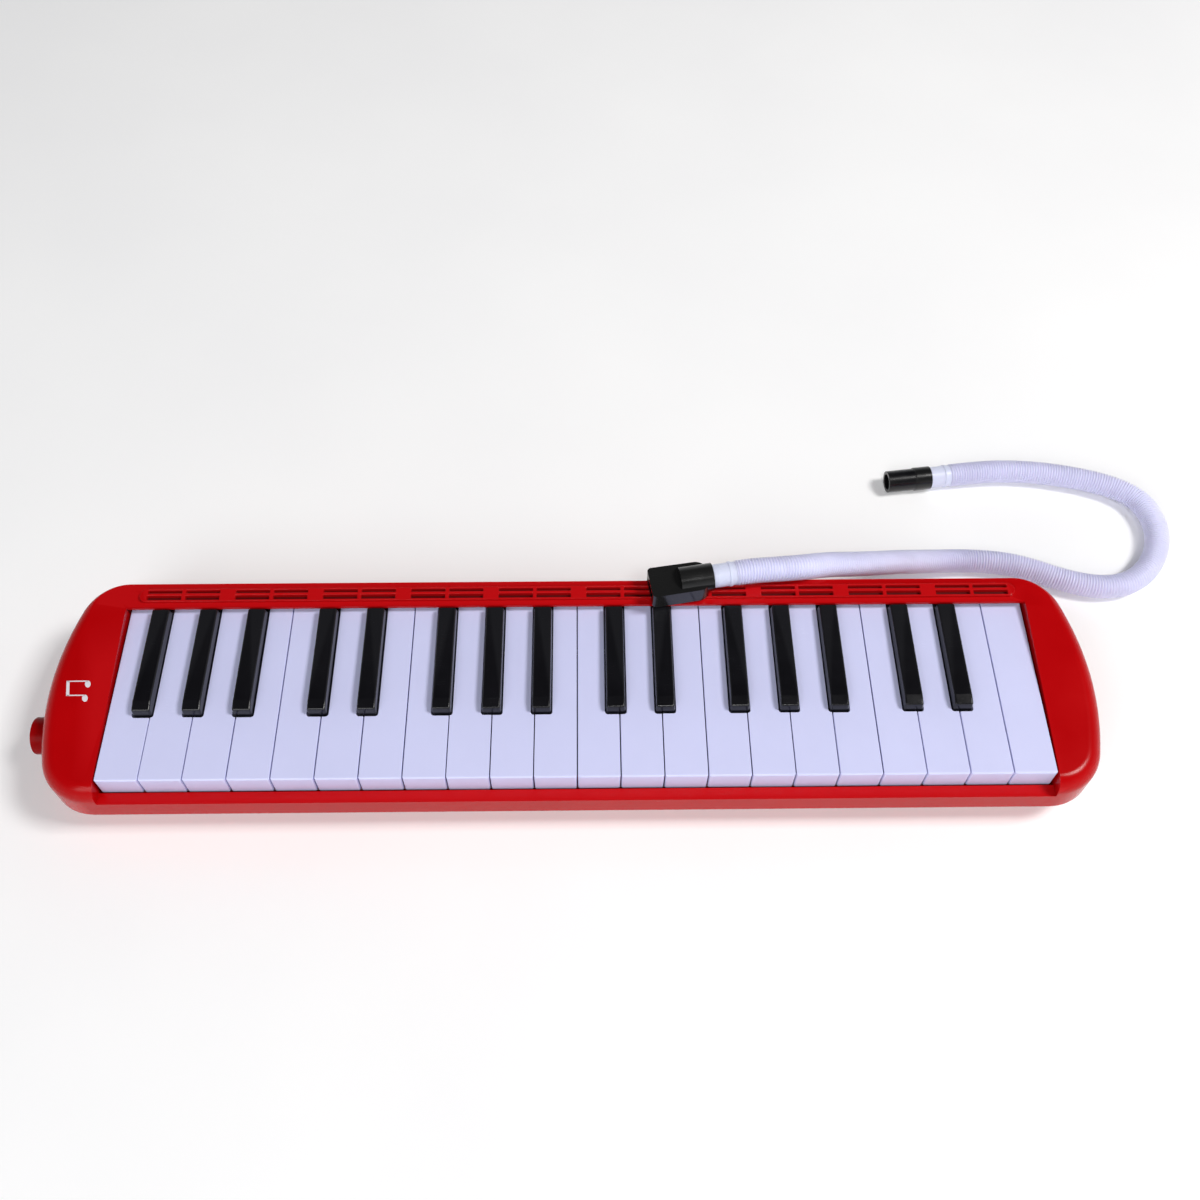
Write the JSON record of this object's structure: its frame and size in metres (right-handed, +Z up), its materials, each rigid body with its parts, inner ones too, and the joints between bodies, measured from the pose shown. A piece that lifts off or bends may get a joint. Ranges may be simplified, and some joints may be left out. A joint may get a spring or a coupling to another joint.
{
  "type": "melodica",
  "caption": "Keyed wind instrument: piano-style levers pivot on one axle over a reed chest in a red two-part casing, with a loose corrugated blow tube.",
  "frame": {"origin": "on the resting surface under the middle of the casing's bounding box, leaving out the loose blow tube", "axes": "+X along the keyboard from bass to treble, +Y from the key fronts to the rear strip, +Z up"},
  "size_m": [0.571, 0.21, 0.0573],
  "materials": {
    "red_shell": "gloss moulded ABS, red",
    "white_key": "gloss moulded ABS, cool white",
    "black_key": "gloss moulded ABS, black",
    "chest_plastic": "satin moulded plastic",
    "rubber": "matt rubber",
    "gasket_foam": "matt foam",
    "reed_plate": "satin milled plate",
    "reed_bronze": "rolled spring bronze",
    "steel": "bright drawn steel",
    "felt": "pressed felt",
    "strap_web": "woven webbing",
    "mouthpiece_black": "gloss moulded plastic, black",
    "hose_plastic": "translucent white corrugated plastic"
  },
  "bodies": {
    "casing": {"upper_case": "red_shell", "lower_case": "red_shell", "wind_chest": "chest_plastic", "chest_cover": "chest_plastic", "chest_gasket": "gasket_foam", "reed_plate_low": "reed_plate", "reed_plate_high": "reed_plate", "reed_tongues": "reed_bronze", "key_axle": "steel", "key_springs": "reed_bronze", "key_felts": "felt", "blow_inlet": "red_shell", "inlet_seal": "rubber", "drain_spring": "steel", "screws": "steel", "rubber_feet": "rubber", "hand_strap": "strap_web"},
    "key_F3": {"white_key_F3": "white_key"},
    "key_G3": {"white_key_G3": "white_key"},
    "key_A3": {"white_key_A3": "white_key"},
    "key_B3": {"white_key_B3": "white_key"},
    "key_C4": {"white_key_C4": "white_key"},
    "key_D4": {"white_key_D4": "white_key"},
    "key_E4": {"white_key_E4": "white_key"},
    "key_F4": {"white_key_F4": "white_key"},
    "key_G4": {"white_key_G4": "white_key"},
    "key_A4": {"white_key_A4": "white_key"},
    "key_B4": {"white_key_B4": "white_key"},
    "key_C5": {"white_key_C5": "white_key"},
    "key_D5": {"white_key_D5": "white_key"},
    "key_E5": {"white_key_E5": "white_key"},
    "key_F5": {"white_key_F5": "white_key"},
    "key_G5": {"white_key_G5": "white_key"},
    "key_A5": {"white_key_A5": "white_key"},
    "key_B5": {"white_key_B5": "white_key"},
    "key_C6": {"white_key_C6": "white_key"},
    "key_D6": {"white_key_D6": "white_key"},
    "key_E6": {"white_key_E6": "white_key"},
    "key_F6": {"white_key_F6": "white_key"},
    "key_Fs3": {"black_key_Fs3": "black_key"},
    "key_Gs3": {"black_key_Gs3": "black_key"},
    "key_As3": {"black_key_As3": "black_key"},
    "key_Cs4": {"black_key_Cs4": "black_key"},
    "key_Ds4": {"black_key_Ds4": "black_key"},
    "key_Fs4": {"black_key_Fs4": "black_key"},
    "key_Gs4": {"black_key_Gs4": "black_key"},
    "key_As4": {"black_key_As4": "black_key"},
    "key_Cs5": {"black_key_Cs5": "black_key"},
    "key_Ds5": {"black_key_Ds5": "black_key"},
    "key_Fs5": {"black_key_Fs5": "black_key"},
    "key_Gs5": {"black_key_Gs5": "black_key"},
    "key_As5": {"black_key_As5": "black_key"},
    "key_Cs6": {"black_key_Cs6": "black_key"},
    "key_Ds6": {"black_key_Ds6": "black_key"},
    "drain_button": {"drain_button": "red_shell", "drain_seal": "rubber"},
    "blow_tube": {"mouthpiece": "mouthpiece_black", "hose_cuffs": "hose_plastic", "blow_hose": "hose_plastic", "hose_connector": "mouthpiece_black"}
  },
  "joints": [
    {"name": "press_F3", "type": "hinge", "parent": "casing", "child": "key_F3", "pos_m": [-0.20563, 0.0215, 0.0285], "axis": [1, 0, 0], "range_deg": [0, 3.28], "stiffness_Nm_per_rad": 0.2, "springref_deg": -11.46, "deforming": ["key_springs"]},
    {"name": "press_G3", "type": "hinge", "parent": "casing", "child": "key_G3", "pos_m": [-0.18376, 0.0215, 0.0285], "axis": [1, 0, 0], "range_deg": [0, 3.28], "stiffness_Nm_per_rad": 0.2, "springref_deg": -11.46, "deforming": ["key_springs"]},
    {"name": "press_A3", "type": "hinge", "parent": "casing", "child": "key_A3", "pos_m": [-0.16083, 0.0215, 0.0285], "axis": [1, 0, 0], "range_deg": [0, 3.28], "stiffness_Nm_per_rad": 0.2, "springref_deg": -11.46, "deforming": ["key_springs"]},
    {"name": "press_B3", "type": "hinge", "parent": "casing", "child": "key_B3", "pos_m": [-0.1388, 0.0215, 0.0285], "axis": [1, 0, 0], "range_deg": [0, 3.28], "stiffness_Nm_per_rad": 0.2, "springref_deg": -11.46, "deforming": ["key_springs"]},
    {"name": "press_C4", "type": "hinge", "parent": "casing", "child": "key_C4", "pos_m": [-0.1264, 0.0215, 0.0285], "axis": [1, 0, 0], "range_deg": [0, 3.28], "stiffness_Nm_per_rad": 0.2, "springref_deg": -11.46, "deforming": ["key_springs"]},
    {"name": "press_D4", "type": "hinge", "parent": "casing", "child": "key_D4", "pos_m": [-0.10374, 0.0215, 0.0285], "axis": [1, 0, 0], "range_deg": [0, 3.28], "stiffness_Nm_per_rad": 0.2, "springref_deg": -11.46, "deforming": ["key_springs"]},
    {"name": "press_E4", "type": "hinge", "parent": "casing", "child": "key_E4", "pos_m": [-0.08088, 0.0215, 0.0285], "axis": [1, 0, 0], "range_deg": [0, 3.28], "stiffness_Nm_per_rad": 0.2, "springref_deg": -11.46, "deforming": ["key_springs"]},
    {"name": "press_F4", "type": "hinge", "parent": "casing", "child": "key_F4", "pos_m": [-0.06843, 0.0215, 0.0285], "axis": [1, 0, 0], "range_deg": [0, 3.28], "stiffness_Nm_per_rad": 0.2, "springref_deg": -11.46, "deforming": ["key_springs"]},
    {"name": "press_G4", "type": "hinge", "parent": "casing", "child": "key_G4", "pos_m": [-0.04656, 0.0215, 0.0285], "axis": [1, 0, 0], "range_deg": [0, 3.28], "stiffness_Nm_per_rad": 0.2, "springref_deg": -11.46, "deforming": ["key_springs"]},
    {"name": "press_A4", "type": "hinge", "parent": "casing", "child": "key_A4", "pos_m": [-0.02363, 0.0215, 0.0285], "axis": [1, 0, 0], "range_deg": [0, 3.28], "stiffness_Nm_per_rad": 0.2, "springref_deg": -11.46, "deforming": ["key_springs"]},
    {"name": "press_B4", "type": "hinge", "parent": "casing", "child": "key_B4", "pos_m": [-0.0016, 0.0215, 0.0285], "axis": [1, 0, 0], "range_deg": [0, 3.28], "stiffness_Nm_per_rad": 0.2, "springref_deg": -11.46, "deforming": ["key_springs"]},
    {"name": "press_C5", "type": "hinge", "parent": "casing", "child": "key_C5", "pos_m": [0.0108, 0.0215, 0.0285], "axis": [1, 0, 0], "range_deg": [0, 3.28], "stiffness_Nm_per_rad": 0.2, "springref_deg": -11.46, "deforming": ["key_springs"]},
    {"name": "press_D5", "type": "hinge", "parent": "casing", "child": "key_D5", "pos_m": [0.03346, 0.0215, 0.0285], "axis": [1, 0, 0], "range_deg": [0, 3.28], "stiffness_Nm_per_rad": 0.2, "springref_deg": -11.46, "deforming": ["key_springs"]},
    {"name": "press_E5", "type": "hinge", "parent": "casing", "child": "key_E5", "pos_m": [0.05632, 0.0215, 0.0285], "axis": [1, 0, 0], "range_deg": [0, 3.28], "stiffness_Nm_per_rad": 0.2, "springref_deg": -11.46, "deforming": ["key_springs"]},
    {"name": "press_F5", "type": "hinge", "parent": "casing", "child": "key_F5", "pos_m": [0.06877, 0.0215, 0.0285], "axis": [1, 0, 0], "range_deg": [0, 3.28], "stiffness_Nm_per_rad": 0.2, "springref_deg": -11.46, "deforming": ["key_springs"]},
    {"name": "press_G5", "type": "hinge", "parent": "casing", "child": "key_G5", "pos_m": [0.09064, 0.0215, 0.0285], "axis": [1, 0, 0], "range_deg": [0, 3.28], "stiffness_Nm_per_rad": 0.2, "springref_deg": -11.46, "deforming": ["key_springs"]},
    {"name": "press_A5", "type": "hinge", "parent": "casing", "child": "key_A5", "pos_m": [0.11357, 0.0215, 0.0285], "axis": [1, 0, 0], "range_deg": [0, 3.28], "stiffness_Nm_per_rad": 0.2, "springref_deg": -11.46, "deforming": ["key_springs"]},
    {"name": "press_B5", "type": "hinge", "parent": "casing", "child": "key_B5", "pos_m": [0.1356, 0.0215, 0.0285], "axis": [1, 0, 0], "range_deg": [0, 3.28], "stiffness_Nm_per_rad": 0.2, "springref_deg": -11.46, "deforming": ["key_springs"]},
    {"name": "press_C6", "type": "hinge", "parent": "casing", "child": "key_C6", "pos_m": [0.148, 0.0215, 0.0285], "axis": [1, 0, 0], "range_deg": [0, 3.28], "stiffness_Nm_per_rad": 0.2, "springref_deg": -11.46, "deforming": ["key_springs"]},
    {"name": "press_D6", "type": "hinge", "parent": "casing", "child": "key_D6", "pos_m": [0.17066, 0.0215, 0.0285], "axis": [1, 0, 0], "range_deg": [0, 3.28], "stiffness_Nm_per_rad": 0.2, "springref_deg": -11.46, "deforming": ["key_springs"]},
    {"name": "press_E6", "type": "hinge", "parent": "casing", "child": "key_E6", "pos_m": [0.19352, 0.0215, 0.0285], "axis": [1, 0, 0], "range_deg": [0, 3.28], "stiffness_Nm_per_rad": 0.2, "springref_deg": -11.46, "deforming": ["key_springs"]},
    {"name": "press_F6", "type": "hinge", "parent": "casing", "child": "key_F6", "pos_m": [0.21005, 0.0215, 0.0285], "axis": [1, 0, 0], "range_deg": [0, 3.28], "stiffness_Nm_per_rad": 0.2, "springref_deg": -11.46, "deforming": ["key_springs"]},
    {"name": "press_Fs3", "type": "hinge", "parent": "casing", "child": "key_Fs3", "pos_m": [-0.19522, 0.0215, 0.0285], "axis": [1, 0, 0], "range_deg": [0, 3.28], "stiffness_Nm_per_rad": 0.2, "springref_deg": -11.46, "deforming": ["key_springs"]},
    {"name": "press_Gs3", "type": "hinge", "parent": "casing", "child": "key_Gs3", "pos_m": [-0.17231, 0.0215, 0.0285], "axis": [1, 0, 0], "range_deg": [0, 3.28], "stiffness_Nm_per_rad": 0.2, "springref_deg": -11.46, "deforming": ["key_springs"]},
    {"name": "press_As3", "type": "hinge", "parent": "casing", "child": "key_As3", "pos_m": [-0.14936, 0.0215, 0.0285], "axis": [1, 0, 0], "range_deg": [0, 3.28], "stiffness_Nm_per_rad": 0.2, "springref_deg": -11.46, "deforming": ["key_springs"]},
    {"name": "press_Cs4", "type": "hinge", "parent": "casing", "child": "key_Cs4", "pos_m": [-0.11515, 0.0215, 0.0285], "axis": [1, 0, 0], "range_deg": [0, 3.28], "stiffness_Nm_per_rad": 0.2, "springref_deg": -11.46, "deforming": ["key_springs"]},
    {"name": "press_Ds4", "type": "hinge", "parent": "casing", "child": "key_Ds4", "pos_m": [-0.09232, 0.0215, 0.0285], "axis": [1, 0, 0], "range_deg": [0, 3.28], "stiffness_Nm_per_rad": 0.2, "springref_deg": -11.46, "deforming": ["key_springs"]},
    {"name": "press_Fs4", "type": "hinge", "parent": "casing", "child": "key_Fs4", "pos_m": [-0.05802, 0.0215, 0.0285], "axis": [1, 0, 0], "range_deg": [0, 3.28], "stiffness_Nm_per_rad": 0.2, "springref_deg": -11.46, "deforming": ["key_springs"]},
    {"name": "press_Gs4", "type": "hinge", "parent": "casing", "child": "key_Gs4", "pos_m": [-0.03511, 0.0215, 0.0285], "axis": [1, 0, 0], "range_deg": [0, 3.28], "stiffness_Nm_per_rad": 0.2, "springref_deg": -11.46, "deforming": ["key_springs"]},
    {"name": "press_As4", "type": "hinge", "parent": "casing", "child": "key_As4", "pos_m": [-0.01216, 0.0215, 0.0285], "axis": [1, 0, 0], "range_deg": [0, 3.28], "stiffness_Nm_per_rad": 0.2, "springref_deg": -11.46, "deforming": ["key_springs"]},
    {"name": "press_Cs5", "type": "hinge", "parent": "casing", "child": "key_Cs5", "pos_m": [0.02205, 0.0215, 0.0285], "axis": [1, 0, 0], "range_deg": [0, 3.28], "stiffness_Nm_per_rad": 0.2, "springref_deg": -11.46, "deforming": ["key_springs"]},
    {"name": "press_Ds5", "type": "hinge", "parent": "casing", "child": "key_Ds5", "pos_m": [0.04488, 0.0215, 0.0285], "axis": [1, 0, 0], "range_deg": [0, 3.28], "stiffness_Nm_per_rad": 0.2, "springref_deg": -11.46, "deforming": ["key_springs"]},
    {"name": "press_Fs5", "type": "hinge", "parent": "casing", "child": "key_Fs5", "pos_m": [0.07918, 0.0215, 0.0285], "axis": [1, 0, 0], "range_deg": [0, 3.28], "stiffness_Nm_per_rad": 0.2, "springref_deg": -11.46, "deforming": ["key_springs"]},
    {"name": "press_Gs5", "type": "hinge", "parent": "casing", "child": "key_Gs5", "pos_m": [0.10209, 0.0215, 0.0285], "axis": [1, 0, 0], "range_deg": [0, 3.28], "stiffness_Nm_per_rad": 0.2, "springref_deg": -11.46, "deforming": ["key_springs"]},
    {"name": "press_As5", "type": "hinge", "parent": "casing", "child": "key_As5", "pos_m": [0.12504, 0.0215, 0.0285], "axis": [1, 0, 0], "range_deg": [0, 3.28], "stiffness_Nm_per_rad": 0.2, "springref_deg": -11.46, "deforming": ["key_springs"]},
    {"name": "press_Cs6", "type": "hinge", "parent": "casing", "child": "key_Cs6", "pos_m": [0.15925, 0.0215, 0.0285], "axis": [1, 0, 0], "range_deg": [0, 3.28], "stiffness_Nm_per_rad": 0.2, "springref_deg": -11.46, "deforming": ["key_springs"]},
    {"name": "press_Ds6", "type": "hinge", "parent": "casing", "child": "key_Ds6", "pos_m": [0.18208, 0.0215, 0.0285], "axis": [1, 0, 0], "range_deg": [0, 3.28], "stiffness_Nm_per_rad": 0.2, "springref_deg": -11.46, "deforming": ["key_springs"]},
    {"name": "drain_press", "type": "slide", "parent": "casing", "child": "drain_button", "axis": [-1, 0, 0], "range_m": [0, 0.0035], "stiffness_N_per_m": 300, "springref_m": -0.003, "deforming": ["drain_spring"]},
    {"name": "blow_tube_lift", "type": "slide", "parent": "casing", "child": "blow_tube", "axis": [0, 0, 1], "range_m": [0, 0.1]}
  ]
}
